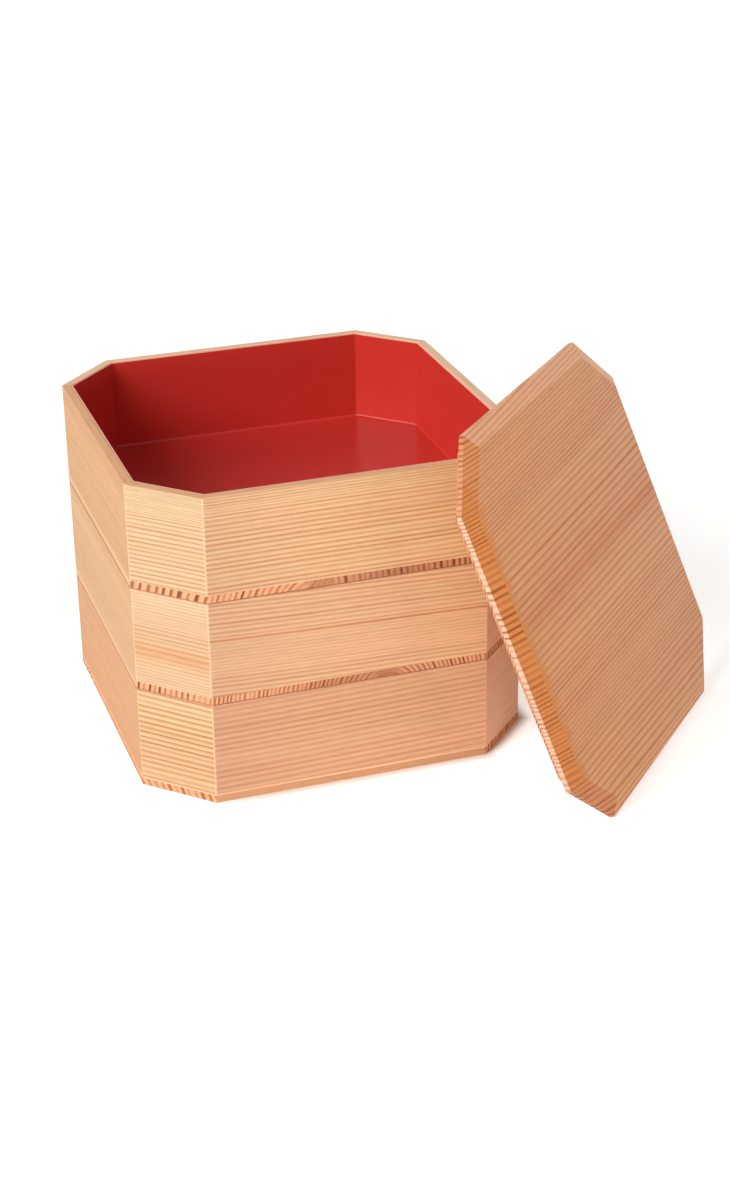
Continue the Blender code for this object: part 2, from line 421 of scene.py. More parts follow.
def ring_count(g, away):
    """Number of rings so far, closer in two bands and a little uneven, and 1 inside those bands."""
    given = g.given
    count = g.math("DIVIDE", away, given["Spacing"])
    fine = 0.0
    for band in ("First", "Second"):
        start = g.math("DIVIDE", g.math("SUBTRACT", away, given[f"{band} Low"]), BAND_EDGE)
        stop = g.math("DIVIDE", g.math("SUBTRACT", away, given[f"{band} High"]), BAND_EDGE)
        inside = g.math("SUBTRACT", g.soft_ramp(start), g.soft_ramp(stop))
        gain = given[f"{band} Gain"]
        count = g.math("MULTIPLY_ADD", g.math("MULTIPLY", inside, BAND_EDGE), gain, count)
        shown = g.math("SUBTRACT", g.smooth(start, -1.0, 1.0), g.smooth(stop, -1.0, 1.0))
        fine = g.math("MAXIMUM", g.math("MULTIPLY", shown, g.math("GREATER_THAN", gain, 1.0)), fine)
    line_seed = g.math("MULTIPLY", g.seed, 3.7)
    swing = g.noise(g.vector(g.math("MULTIPLY", away, SWING_SCALE), 0.0, 0.0), line_seed, detail=1.0)
    jitter = g.noise(g.vector(g.math("MULTIPLY", away, JITTER_SCALE), 7.0, 0.0), line_seed, detail=0.0)
    count = g.math("MULTIPLY_ADD", swing, given["Unevenness"], count)
    return g.math("MULTIPLY_ADD", jitter, 0.4, count), fine


def ring_line(g, phase, chance, fine):
    """Line of late wood in each ring, patchy along its run and fainter in the fine bands."""
    clear = g.inverse(g.math("MULTIPLY", fine, g.given["Fade"]))
    strength = g.math("MULTIPLY", g.math("MULTIPLY_ADD", chance, 0.4, 0.6), clear)
    patchy = g.pattern(PATCHY_SCALE, seed_step=3.0)
    strength = g.math("MULTIPLY", strength, g.math("MULTIPLY_ADD", patchy, 0.9, 0.55))
    rise = g.smooth(phase, g.given["Line Start"], LINE_FULL)
    fall = g.below(phase, *LINE_FALL)
    return g.math("MULTIPLY", g.math("MULTIPLY", rise, fall), strength)


def face_colour(g, line, away):
    """Pale early wood with pinkish bands, darker late wood in the lines, one reddish streak, and painted
    light along some boards and on upward bevels.
    """
    given = g.given
    tint = g.pattern(PINK_SCALE, seed_step=11.0)
    pink = g.math("MULTIPLY", g.smooth(tint, 0.32, 0.68), given["Pink"])
    early = g.mix(pink, given["Early"], given["Early Pink"])
    face = g.mix(g.math("MULTIPLY", line, given["Line"]), early, given["Late"])

    # Painted light: some boards are warmer and lighter towards one end, and lighter on a bevel that faces up
    slant = g.math("MULTIPLY", g.smooth(g.turned[1], *SLANT_TURN), given["Slant Pale"])
    bright = g.math("MULTIPLY_ADD", slant, SLANT_BRIGHT, 1.0)
    along = g.math("DIVIDE", g.x, given["Half Length"])
    lit_gradient = g.add("ShaderNodeVectorMath", operation="MULTIPLY_ADD")
    g.feed(lit_gradient.inputs[0], g.vector(along, along, along))
    g.feed(lit_gradient.inputs[1], given["Warm"])
    g.feed(lit_gradient.inputs[2], g.vector(bright, bright, bright))
    face = g.mix(1.0, face, lit_gradient.outputs[0], "MULTIPLY")
    face = g.mix(g.math("MULTIPLY", slant, SLANT_LIT), face, given["WornAndLit"])

    stain = g.bell(away, given["Stain At"], given["Stain Width"])
    return g.mix(g.math("MULTIPLY", stain, given["Stain"]), face, given["Stained"])


def fibre_tone(g, fibre, streak):
    """Brightness of the fibres, which on some boards rises along local Y as painted light."""
    tone = g.math("MULTIPLY_ADD", fibre, 0.24, g.math("MULTIPLY_ADD", streak, 0.16, 0.70))
    tone = g.math("MULTIPLY_ADD", g.pattern(FLECK_SCALE, seed_step=7.0), 0.20, tone)
    upward = g.math("DIVIDE", g.y, g.given["Half Length"])
    return g.math("MULTIPLY_ADD", upward, g.given["Rise"], tone)


def end_colour(g, phase, chance, beside, radius):
    """End grain: hatched by the rings, softer at the pith, with pores, a shaded stretch, and paler ends and
    far corner as painted light.
    """
    given = g.given
    line = g.math("MULTIPLY", g.smooth(phase, *END_RISE), g.below(phase, *END_FALL))
    line = g.math("MULTIPLY", line, g.math("MULTIPLY_ADD", chance, 0.65, 0.35))
    heart = g.below(g.math("ABSOLUTE", beside), *HEART_SIDE)
    heart = g.math("MULTIPLY", heart, g.below(radius, *HEART_RADIUS))
    line = g.math("MULTIPLY", line, g.math("MULTIPLY_ADD", heart, -HEART_FADE, 1.0))
    shade = g.math("MULTIPLY", g.bell(g.y, given["Shade At"], given["Shade Width"]), given["Shade"])
    shade = g.math("MULTIPLY_ADD", heart, HEART_SHADE, shade)
    # Painted light: cut ends and the far corner that face the light are paler, with fewer lines
    pale = g.math("MULTIPLY", g.smooth(g.math("ABSOLUTE", g.turned[0]), *CUT_END_TURN), given["End Pale"])
    far = g.smooth(g.math("MINIMUM", g.turned[0], g.turned[1]), *FAR_TURN)
    far = g.math("MULTIPLY", far, given["Far Pale"])
    clean = g.math("MULTIPLY_ADD", far, -0.7, g.math("MULTIPLY_ADD", pale, -0.25, 1.0))
    rosy = g.math("MULTIPLY", g.below(g.y, *ROSY_EDGE), given["Rosy Foot"])
    end = g.mix(rosy, given["End"], given["Rosy"])
    end = g.mix(g.math("MAXIMUM", pale, far), end, given["WornAndLit"])
    end = g.mix(shade, end, given["End Line"])
    end = g.mix(g.math("MULTIPLY", line, clean), end, given["End Line"])
    pores = g.math("MULTIPLY", g.smooth(g.pattern(PORE_SCALE), 0.5, 0.8), PORE_SHARE)
    return g.mix(pores, end, given["End Line"])


def creeping_end(g, face, streak):
    """Face colour with the colour of the end grain drawn in from the end at negative X."""
    creep = g.math("SUBTRACT", g.math("MULTIPLY", g.x, -1.0), g.given["Creep From"])
    creep = g.math("MULTIPLY_ADD", g.math("SUBTRACT", streak, 0.5), CREEP_WANDER, creep)
    drawn = g.math("MULTIPLY", g.smooth(creep, -CREEP_EDGE, 0.0), CREEP_SHARE)
    return g.mix(drawn, face, g.given["End"])


def edge_marks(g, whole):
    """Colour with the marks along the edges of a board: wear with painted highlight, painted light on the
    rim, painted shade at the joint and seam, and a pale sill line.
    """
    given = g.given

    # Pale edges at the upright corners at the board's ends and the inner arris of the rim: partly sanding
    # wear, partly painted highlight
    from_end = g.math("SUBTRACT", given["Half Length"], g.math("ABSOLUTE", g.x))
    from_rim = g.math("SUBTRACT", given["Rim"], g.z)
    rim_wear_and_highlight = g.math("MULTIPLY", g.below(from_rim, *RIM_WEAR_AND_HIGHLIGHT), g.smooth(g.turned[1], *INNER_TURN))
    wear_and_highlight = g.math("MAXIMUM", g.below(from_end, *CORNER_WEAR_AND_HIGHLIGHT), g.math("MULTIPLY", rim_wear_and_highlight, 2.0))
    wear_and_highlight = g.math("MULTIPLY", wear_and_highlight, given["WearAndHighlight"])
    whole = g.mix(g.math("MINIMUM", wear_and_highlight, 1.0), whole, given["WornAndLit"])

    # Rim face that looks up, paler as painted light, with a few darker patches
    on_rim = g.smooth(g.z, g.math("SUBTRACT", given["Rim"], RIM_FACE), given["Rim"])
    on_rim = g.math("MULTIPLY", on_rim, g.smooth(g.turned[2], *RIM_TURN))
    patch = g.smooth(g.pattern(RIM_PATCH_SCALE, seed_step=5.0), 0.5, 0.75)
    rim = g.mix(g.math("MULTIPLY", patch, RIM_PATCH_SHARE), given["Rim Tint"], given["Late"])
    whole = g.mix(g.math("MULTIPLY", on_rim, RIM_SHARE), whole, rim)

    # Painted shade on the outer arris of a rim that another tier stands on
    joint = g.math("MULTIPLY", g.below(from_rim, *JOINT_LINE), g.below(g.turned[1], *OUTER_TURN))
    whole = g.mix(g.math("MULTIPLY", joint, given["Joint"]), whole, given["Seam"])

    # Pale line where a wall stands on its base board
    sill = g.below(g.math("SUBTRACT", g.z, given["Sill"]), *SILL_LINE)
    whole = g.mix(g.math("MULTIPLY", sill, SILL_SHARE), whole, given["WornAndLit"])

    # Painted shade in the seam at the foot of a base board
    seam = g.below(g.math("SUBTRACT", g.z, given["Foot"]), *SEAM_LINE)
    return g.mix(g.math("MULTIPLY", seam, SEAM_SHARE), whole, given["Seam"])


def cedar_group():
    """Node group that gives cedar's colour, relief and roughness from a few numbers for each board."""
    tree = bpy.data.node_groups.new("cedar_grain", "ShaderNodeTree")
    make_group_inputs(tree, CEDAR_INPUTS)
    tree.interface.new_socket("Color", in_out="OUTPUT", socket_type=TINT)
    tree.interface.new_socket("Height", in_out="OUTPUT", socket_type=FLOAT)
    tree.interface.new_socket("Roughness", in_out="OUTPUT", socket_type=FLOAT)
    g = CedarGraph(tree)
    beside, radius, away = pith_distance(g)
    count, fine = ring_count(g, away)
    phase = g.math("FRACT", count)
    ring = g.add("ShaderNodeTexWhiteNoise", noise_dimensions="2D")
    g.feed(ring.inputs["Vector"], g.vector(g.math("FLOOR", count), g.seed, 0.0))
    chance = ring.outputs["Value"]
    line = ring_line(g, phase, chance, fine)
    fibre = g.pattern(FIBRE_SCALE, detail=2.0)
    streak = g.pattern(STREAK_SCALE, detail=2.0)

    # End grain shows where the surface turns across the fibres
    face = creeping_end(g, face_colour(g, line, away), streak)
    end = end_colour(g, phase, chance, beside, radius)
    end_start = g.given["End Start"]
    endness = g.smooth(g.math("ABSOLUTE", g.turned[0]), end_start, g.math("ADD", end_start, END_TURN))
    tone = fibre_tone(g, fibre, streak)
    whole = g.mix(1.0, g.mix(endness, face, end), g.vector(tone, tone, tone), "MULTIPLY")

    out = g.add("NodeGroupOutput")
    g.feed(out.inputs["Color"], edge_marks(g, whole))
    g.feed(out.inputs["Height"], g.math("MULTIPLY_ADD", line, 0.6, g.math("MULTIPLY", fibre, 0.5)))
    rough = g.math("MULTIPLY_ADD", fibre, 0.24, 0.56)
    g.feed(out.inputs["Roughness"], g.math("MULTIPLY_ADD", line, -0.06, rough))
    return tree


CEDAR = cedar_group()
CEDAR_TINTS = {
    "Early": colour(232, 186, 142),
    "Early_Pink": colour(231, 174, 137),
    "Late": colour(186, 124, 82),
    "End": colour(232, 170, 129),
    "End_Line": colour(132, 68, 44),
    # Pale tint for worn edges, painted highlight and painted light
    "WornAndLit": colour(254, 216, 184),
    # Painted shade in the seams between tiers
    "Seam": colour(172, 98, 70),
    "Stained": colour(196, 112, 74),
    # Painted light on the rim face
    "Rim_Tint": colour(255, 212, 180),
}


def add_bump(g, shader, height, strength, distance):
    """Relief on a shader from a height."""
    bump = g.add("ShaderNodeBump")
    bump.inputs["Strength"].default_value = strength
    bump.inputs["Distance"].default_value = distance
    g.feed(bump.inputs["Height"], height)
    g.feed(shader.inputs["Normal"], bump.outputs["Normal"])


def cedar(name, **settings):
    """Cedar material of one board."""
    material = bpy.data.materials.new(name)
    material.use_nodes = True
    g = Graph(material.node_tree)
    shader = material.node_tree.nodes["Principled BSDF"]
    grain = g.add("ShaderNodeGroup", node_tree=CEDAR)
    for key, value in {**CEDAR_TINTS, **settings}.items():
        grain.inputs[key.replace("_", " ")].default_value = value
    g.feed(shader.inputs["Base Color"], grain.outputs["Color"])
    g.feed(shader.inputs["Roughness"], grain.outputs["Roughness"])
    add_bump(g, shader, grain.outputs["Height"], strength=0.25, distance=0.0002)
    shader.inputs["Specular IOR Level"].default_value = 0.16
    return material


# Lacquer: two reds that cloud into each other, and a paler line along its lip below the rim that is a painted
# highlight

LACQUER_REDS = (colour(196, 48, 40), colour(204, 52, 43))
LIP_HIGHLIGHT = colour(250, 176, 150)
LIP_HIGHLIGHT_START = 0.0007
LIP_HIGHLIGHT_FULL = 0.0003
LIP_HIGHLIGHT_SHARE = 0.85
CLOUD_SCALE = (22.0, 22.0, 22.0)
BRUSH_SCALE = (160.0, 160.0, 160.0)


def lacquer():
    """Red lacquer: satin gloss, a little cloudy and brushed."""
    material = bpy.data.materials.new("red_lacquer")
    material.use_nodes = True
    g = Graph(material.node_tree)
    shader = material.node_tree.nodes["Principled BSDF"]
    place = g.add("ShaderNodeTexCoord").outputs["Object"]
    cloud = g.noise(g.scaled(place, CLOUD_SCALE), 2.0, detail=2.0)
    brush = g.noise(g.scaled(place, BRUSH_SCALE), 5.0, detail=2.0)
    # Painted highlight: a pale pink line along the lip
    lip = g.smooth(g.split(place)[2], TIER_HEIGHT - LIP_HIGHLIGHT_START, TIER_HEIGHT - LIP_HIGHLIGHT_FULL)
    red = g.mix(g.math("MULTIPLY", lip, LIP_HIGHLIGHT_SHARE), g.mix(cloud, *LACQUER_REDS), LIP_HIGHLIGHT)
    g.feed(shader.inputs["Base Color"], red)
    g.feed(shader.inputs["Roughness"], g.math("MULTIPLY_ADD", brush, 0.08, 0.15))
    add_bump(g, shader, brush, strength=0.1, distance=0.0003)
    shader.inputs["Specular IOR Level"].default_value = 0.2
    shader.inputs["Coat Weight"].default_value = 0.3
    shader.inputs["Coat Roughness"].default_value = 0.75
    return material


# Tiers

def board_outline(distance, length):
    """Plan of one mitred wall board that faces -Y, with its share of the rounded corners."""
    arc_end = length / 2 - CORNER_ROUND * math.tan(MITRE)
    inner_end = length / 2 - WALL * math.tan(MITRE)
    right = []
    for step in range(ARC_STEPS // 2 + 1):
        angle = CORNER_TURN * step / ARC_STEPS
        x = arc_end + CORNER_ROUND * math.sin(angle)
        y = -distance + CORNER_ROUND * (1 - math.cos(angle))
        right.append((x, y))
    right.append((inner_end, -distance + WALL))
    return right + [(-x, y) for x, y in reversed(right)]


def wall_board(name, distance, length, material):
    """One mitred wall board with eased rim and foot edges."""
    bm = bmesh.new()
    outline = board_outline(distance, length)
    foot = [bm.verts.new((x, y, BASE_BOARD)) for x, y in outline]
    rim = [bm.verts.new((x, y, TIER_HEIGHT)) for x, y in outline]
    bm.faces.new(reversed(foot))
    bm.faces.new(rim)
    count = len(outline)
    inner_right = count // 2 - 1
    weight = bm.edges.layers.float.new("bevel_weight_edge")
    for i in range(count):
        j = (i + 1) % count
        bm.faces.new((foot[i], foot[j], rim[j], rim[i]))
        if i == inner_right:
            bm.edges.get((rim[i], rim[j]))[weight] = 1.0
        elif abs(i - inner_right) != 1:
            bm.edges.get((rim[i], rim[j]))[weight] = OUTER_EASE / RIM_EASE
            bm.edges.get((foot[i], foot[j]))[weight] = JOINT_EASE / RIM_EASE
    obj = finish_mesh(bm, name, material, BOARD_SMOOTH)
    bevel = obj.modifiers.new("eased_edges", "BEVEL")
    bevel.limit_method = "WEIGHT"
    bevel.width = RIM_EASE
    bevel.segments = EASE_STEPS
    return obj


def base_board(name, material):
    """Base plate flush with the walls."""
    loops = [
        octagon_loop(OUTER_EASE, 0.0, CORNER_ROUND),
        octagon_loop(0.0, OUTER_EASE, CORNER_ROUND),
        octagon_loop(0.0, BASE_BOARD - JOINT_EASE, CORNER_ROUND),
        octagon_loop(JOINT_EASE, BASE_BOARD, CORNER_ROUND),
    ]
    return loft(name, loops, material, BASE_SMOOTH)


def lacquer_lining(name, material):
    """Lacquer coat of one tier: a thin open cup with a rounded lip and a coved floor edge."""
    lip = LACQUER / 2
    opening = WALL + LACQUER
    floor = BASE_BOARD + LACQUER_FLOOR
    loops = [
        octagon_loop(WALL, BASE_BOARD, LACQUER_ROUND),
        octagon_loop(WALL, TIER_HEIGHT - RIM_EASE, LACQUER_ROUND),
    ]
    for step in range(1, COVE_STEPS + 1):
        angle = math.pi * step / COVE_STEPS
        level = TIER_HEIGHT - RIM_EASE + lip * math.sin(angle)
        loops.append(octagon_loop(WALL + lip * (1 - math.cos(angle)), level, LACQUER_ROUND))
    for step in range(COVE_STEPS + 1):
        angle = QUARTER_TURN * step / COVE_STEPS
        inset = opening + FLOOR_COVE * (1 - math.cos(angle))
        loops.append(octagon_loop(inset, floor + FLOOR_COVE * (1 - math.sin(angle)), LACQUER_ROUND))
    return loft(name, loops, material, LINING_SMOOTH)


def register_panel(name, inset, depth, material):
    """Panel under a base board or the lid, sized to drop into the opening below."""
    loops = [
        octagon_loop(inset + PANEL_EASE, -depth, LACQUER_ROUND),
        octagon_loop(inset, -depth + PANEL_EASE, LACQUER_ROUND),
        octagon_loop(inset, 0.0, LACQUER_ROUND),
    ]
    return loft(name, loops, material)


# Grain of the boards by name; boards that aren't named take the tier's own tints
YELLOW = {"Early": colour(227, 193, 151), "Early_Pink": colour(226, 183, 144), "Late": colour(190, 119, 73)}
ROSY = {"Early": colour(225, 187, 149), "Early_Pink": colour(223, 176, 141), "Late": colour(180, 110, 72)}
RED = {"Early": colour(216, 172, 139), "Early_Pink": colour(213, 164, 132), "Late": colour(182, 107, 64)}
PALE = {"Early": colour(215, 187, 153), "Early_Pink": colour(213, 178, 148), "Late": colour(181, 124, 68)}
ORANGE = {"Early": colour(218, 189, 149), "Early_Pink": colour(216, 179, 143), "Late": colour(182, 114, 58)}
# Darker tints for the left boards: painted shade, against the key lamp that lights them more
PAINTED_SHADE_LEFT = {"Early": colour(214, 173, 131), "Early_Pink": colour(211, 164, 126), "Late": colour(180, 122, 82)}
# Paler tints for the front-right corners, which lack light beside the lid: painted light
PAINTED_LIGHT_RIGHT = {"Early": colour(255, 218, 194), "Early_Pink": colour(254, 210, 186), "Late": colour(222, 154, 126)}
TIER_TINTS = {"bottom": RED, "middle": ROSY, "top": YELLOW}
FINE_TOP = {"First_Low": 0.0435, "First_Gain": 330.0, "Fade": 0.1}
FINE_MIDDLE = {"First_Low": 0.012, "First_High": 0.031, "First_Gain": 150.0}
PLAIN_TOP = {"First_Low": 0.038, "First_Gain": 480.0, "Fade": 0.2}
FINE_ENDS = {
    "First_Low": 0.034, "First_Gain": 250.0, "Second_Low": -0.01, "Second_High": 0.014, "Second_Gain": 220.0,
}
RED_LINE = {"Stain": 0.6, "Stain_At": 0.031, "Stain_Width": 0.0006}
RED_BAND = {"Stain": 0.42, "Stain_At": 0.0215, "Stain_Width": 0.0048, "Stained": colour(204, 130, 76)}
# Warmer painted light on the rim face of these boards
WARM_RIM = {"Rim_Tint": colour(242, 184, 140)}
# Stronger painted shade at the joint, and no pale edges, on the lower left boards
DARK_JOINT = {"Joint": 0.7, "WearAndHighlight": 0.0}
# The Warm gradients along the boards are painted light
BOARD_GRAIN = {
    "top_front_board": {
        **YELLOW, **FINE_TOP, **WARM_RIM, "Spacing": 0.0024, "Slope": -0.004, "Unevenness": 0.6,
        "Line": 0.72, "Line_Start": 0.25, "Warm": (0.18, 0.17, 0.10),
    },
    "middle_front_board": {
        **ROSY, **FINE_MIDDLE, **RED_LINE, "Spacing": 0.0023, "Slope": 0.034, "Unevenness": 0.7,
        "Line": 0.66, "Line_Start": 0.2, "Warm": (0.15, 0.14, 0.08),
    },
    "bottom_front_board": {
        **RED, "Spacing": 0.0029, "Slope": -0.016, "Unevenness": 0.8,
        "Line": 0.5, "Line_Start": 0.2, "Pink": 1.0, "Warm": (0.11, 0.10, 0.06),
    },
    "top_front_left_corner": {
        **PALE, **PLAIN_TOP, **WARM_RIM, "Spacing": 0.0022, "Unevenness": 0.5, "Line": 0.7, "Line_Start": 0.3,
    },
    "middle_front_left_corner": {
        **PALE, **FINE_ENDS, **RED_BAND, "Spacing": 0.0024, "Slope": 0.02, "Pink": 1.0,
        "Line": 0.6, "Line_Start": 0.25, "Fade": 0.4,
    },
    "bottom_front_left_corner": {
        **ORANGE, "Spacing": 0.0027, "Slope": 0.01, "Unevenness": 1.0, "Pink": 1.0,
        "Line": 0.82, "Line_Start": 0.2,
    },
    "top_left_board": {**PAINTED_SHADE_LEFT, **WARM_RIM, "Spacing": 0.0024, "Line": 0.6},
    "middle_left_board": {
        **PAINTED_SHADE_LEFT, **DARK_JOINT, "Spacing": 0.0028, "Line": 0.4, "Early": colour(216, 179, 139),
    },
    "bottom_left_board": {
        **PAINTED_SHADE_LEFT, **DARK_JOINT, "Spacing": 0.0026, "Line": 0.4, "Pink": 1.0, "Early": colour(213, 161, 120),
    },
    "middle_front_right_corner": {**PAINTED_LIGHT_RIGHT, "Spacing": 0.0018},
    "bottom_front_right_corner": {**PAINTED_LIGHT_RIGHT, "Spacing": 0.0018},
}
# Foot at 0 gives painted shade in the seam at a base board's foot; the bottom one has none
BASE_GRAIN = {
    "bottom": {
        "Pith_Y": 0.03, "Pith_Z": -0.03, "Spacing": 0.0026, "Line": 0.25,
        "Early": colour(195, 155, 119), "End_Line": colour(150, 80, 54),
    },
    "middle": {
        "Pith_Y": -0.018, "Pith_Z": -0.008, "Spacing": 0.0021, "Foot": 0.0,
        "Shade": 0.42, "Shade_At": 0.004, "Shade_Width": 0.028,
    },
    "top": {
        "Pith_Y": 0.0144, "Pith_Z": -0.012, "Far_Lean": 0.3, "Spacing": 0.0029, "Foot": 0.0,
        "Shade": 0.5, "Shade_At": -0.024, "Shade_Width": 0.036,
    },
}
WALL_PITH = 0.3
WALL_SPACING = 0.0022
# Faint painted shade at the joint of a rim that another tier stands on
FAINT_JOINT = 0.15
PANEL_GRAIN = {"Pith_Y": 0.02, "Pith_Z": -0.1, "End_Start": 0.3}
BASE_END = {"End_Start": 0.3, "Unevenness": 1.5}

# Seeds of the grain
TIER_SEED_STEP = 10.0
CORNER_SEED = 4.5
BASE_SEED = 50.0
PANEL_SEED = 60.0
LID_SEED = 71.0
LID_PANEL_SEED = 72.0


def wall_material(tier, name, seed, distance, length):
    """Cedar of one wall board, its rings counted up from the foot of its face."""
    settings = {"Pith_Y": -distance, "Pith_Z": -WALL_PITH, "Origin": WALL_PITH, "Spacing": WALL_SPACING}
    settings.update(TIER_TINTS[tier], **BOARD_GRAIN.get(name, {}))
    if tier == "bottom":
        settings["Sill"] = BASE_BOARD
    # Painted shade at the rims of the lower tiers, where the tier above stands
    if tier != "top":
        settings.setdefault("Joint", FAINT_JOINT)
    return cedar(f"cedar_{name}", Seed=seed, Half_Length=length / 2, Rim=TIER_HEIGHT, **settings)


def build_tier(tier, tier_index, red):
    """The eight boards, base board, lacquer and register panel of one tier."""
    body = f"{tier}_tier"
    level = Matrix.Translation((0.0, 0.0, TIER_LEVEL[tier]))
    seed = TIER_SEED_STEP * tier_index
    for index, side in enumerate(SIDES):
        name = f"{tier}_{side}_board"
        material = wall_material(tier, name, seed + index, SIDE_REACH, SIDE_LENGTH)
        piece = wall_board(f"cedar_{name}", SIDE_REACH, SIDE_LENGTH, material)
        attach(piece, level @ Matrix.Rotation(QUARTER_TURN * index, 4, "Z"), body, "cedar_side", name)
    for index, corner in enumerate(CORNERS):
        name = f"{tier}_{corner}_corner"
        material = wall_material(tier, name, seed + index + CORNER_SEED, CORNER_REACH, CORNER_LENGTH)
        piece = wall_board(f"cedar_{name}", CORNER_REACH, CORNER_LENGTH, material)
        turn = CORNER_TURN + QUARTER_TURN * index
        attach(piece, level @ Matrix.Rotation(turn, 4, "Z"), body, "cedar_corner", name)
    name = f"{tier}_base_board"
    turn = 0.0 if tier == "bottom" else QUARTER_TURN
    settings = {**TIER_TINTS[tier], **BASE_END, **BASE_GRAIN[tier]}
    material = cedar(f"cedar_{name}", Seed=BASE_SEED + tier_index, **settings)
    piece = base_board(f"cedar_{name}", material)
    attach(piece, level @ Matrix.Rotation(turn, 4, "Z"), body, "cedar_base", name)
    name = f"{tier}_lacquer_lining"
    attach(lacquer_lining(f"red_{name}", red), level, body, "red_lacquer", name)
    if tier_index > 0:
        name = f"{tier}_register_panel"
        material = cedar(f"cedar_{name}", Seed=PANEL_SEED + tier_index, **PANEL_GRAIN)
        piece = register_panel(f"cedar_{name}", PANEL_INSET, REGISTER_DEPTH, material)
        attach(piece, level, body, "cedar_panel", name)


# Lid

def lid_matrix():
    """Place of the lid: local X along its floor edge, Y up the plate, Z out of its face."""
    slide = next(joint for joint in frame["joints"] if joint["name"] == "lid_slide_off")
    upward = Vector(slide["axis"]).normalized()
    outward = -Vector((upward.x, upward.y, 0.0)).normalized()
    along = Vector((-outward.y, outward.x, 0.0))
    normal = along.cross(upward)
    centre = Vector()
    for axis in (along, upward):
        centre += axis * (reach("lid_board", axis) - reach("lid_board", -axis)) / 2
    centre -= normal * reach("lid_board", -normal)
    return Matrix.Translation(centre) @ Matrix((along, upward, normal)).transposed().to_4x4()


LID_TINTS = {
    "Early": colour(206, 160, 126),
    "Early_Pink": colour(203, 151, 122),
    "Late": colour(173, 104, 63),
    "End": colour(200, 131, 75),
    "End_Line": colour(148, 76, 36),
    "Stained": colour(186, 120, 88),
    "Rosy": colour(188, 130, 100),
    # Pale tint of the lid's painted light
    "WornAndLit": colour(246, 204, 182),
}
# The lid's Slant Pale, Warm, Rise, End Pale and Far Pale paint light: a paler upward bevel, colour gradients
# along and up the lid, and paler ends and far corner
LID_GRAIN = {
    "Pith_Y": -0.42, "Pith_Z": -0.06, "Origin": 0.424, "Spacing": 0.0033, "Slope": -0.002, "Fan": 0.4,
    "First_Low": 0.050, "First_High": 0.3, "First_Gain": 200.0,
    "Second_Low": -0.058, "Second_High": -0.021, "Second_Gain": 190.0,
    "Fade": 0.0, "Line": 0.8, "Line_Start": 0.35, "Unevenness": 1.0,
    "Slant_Pale": 1.0, "Rosy_Foot": 0.9, "Warm": (-0.01, 0.04, 0.13), "Rise": 0.05,
    "Creep_From": 0.0895, "WearAndHighlight": 0.0,
    "End_Start": 0.14, "End_Pale": 0.75, "Far_Pale": 1.0,
    "Stain": 0.42, "Stain_At": 0.0105, "Stain_Width": 0.0045,
}
LID_PANEL_GRAIN = {"Pith_Y": 0.1, "Pith_Z": -0.2, "End_Start": 0.3}


def build_lid():
    """The bevelled lid board and the register panel under it."""
    matrix = lid_matrix()
    normal = matrix.col[2].to_3d()
    under = reach("lid_board", -normal)
    thickness = reach("lid_board", normal) + under
    material = cedar("cedar_lid_board", Seed=LID_SEED, Half_Length=SIDE_REACH, **LID_TINTS, **LID_GRAIN)
    loops = [
        octagon_loop(RIM_EASE, 0.0, CORNER_ROUND),
        octagon_loop(0.0, RIM_EASE, CORNER_ROUND),
        octagon_loop(0.0, LID_RIM, CORNER_ROUND),
        octagon_loop(LID_BEVEL, thickness, CORNER_ROUND),
    ]
    lid = loft("cedar_lid_board_bevelled", loops, material, LID_SMOOTH)
    attach(lid, matrix, "lid", "cedar_lid", "lid_board")
    depth = reach("lid_register_panel", -normal) - under
    across = matrix.col[0].to_3d()
    panel_inset = reach("lid_board", across) - reach("lid_register_panel", across)
    material = cedar("cedar_lid_panel", Seed=LID_PANEL_SEED, **LID_PANEL_GRAIN)
    panel = register_panel("cedar_lid_register_panel", panel_inset, depth, material)
    attach(panel, matrix, "lid", "cedar_panel", "lid_register_panel")


# Stage, light and camera

# Camera place in box widths from the centre of the base, its heading, tilt and roll in radians,
# and its focal length in pixels of the photograph
CAMERA_PLACE = Vector((-1.4569, -4.9992, 2.7757))
CAMERA_HEADING = -0.32615
CAMERA_TILT = -0.45023
CAMERA_ROLL = 0.01196
FOCAL_PIXELS = 2203.8
IMAGE_HEIGHT = 1200
SENSOR = 36.0


def build_camera():
    """Camera at the viewing angle of the photograph."""
    data = bpy.data.cameras.new("camera")
    data.sensor_width = SENSOR
    data.lens = FOCAL_PIXELS / IMAGE_HEIGHT * SENSOR
    data.clip_start = 0.01
    camera = bpy.data.objects.new("camera", data)
    bpy.context.scene.collection.objects.link(camera)
    turn = Matrix.Rotation(CAMERA_HEADING, 4, "Z") @ Matrix.Rotation(CAMERA_ROLL, 4, "Y")
    turn = turn @ Matrix.Rotation(CAMERA_TILT + QUARTER_TURN, 4, "X")
    camera.matrix_world = Matrix.Translation(CAMERA_PLACE * BOX_WIDTH) @ turn
    bpy.context.scene.camera = camera


def area_lamp(name, place, target, size, power, tint):
    """Soft lamp of a width and a height, aimed at a point."""
    data = bpy.data.lights.new(name, "AREA")
    data.shape = "RECTANGLE"
    data.size, data.size_y = size
    data.energy = power
    data.color = tint
    lamp = bpy.data.objects.new(name, data)
    bpy.context.scene.collection.objects.link(lamp)
    lamp.location = place
    lamp.rotation_euler = (Vector(target) - Vector(place)).to_track_quat("-Z", "Y").to_euler()


def seen_directly(g):
    """1 for rays that show a surface as background: from the camera, in a reflection or through glass."""
    path = g.add("ShaderNodeLightPath")
    seen = g.math("MAXIMUM", path.outputs["Is Camera Ray"], path.outputs["Is Glossy Ray"])
    return g.math("MAXIMUM", seen, path.outputs["Is Transmission Ray"])


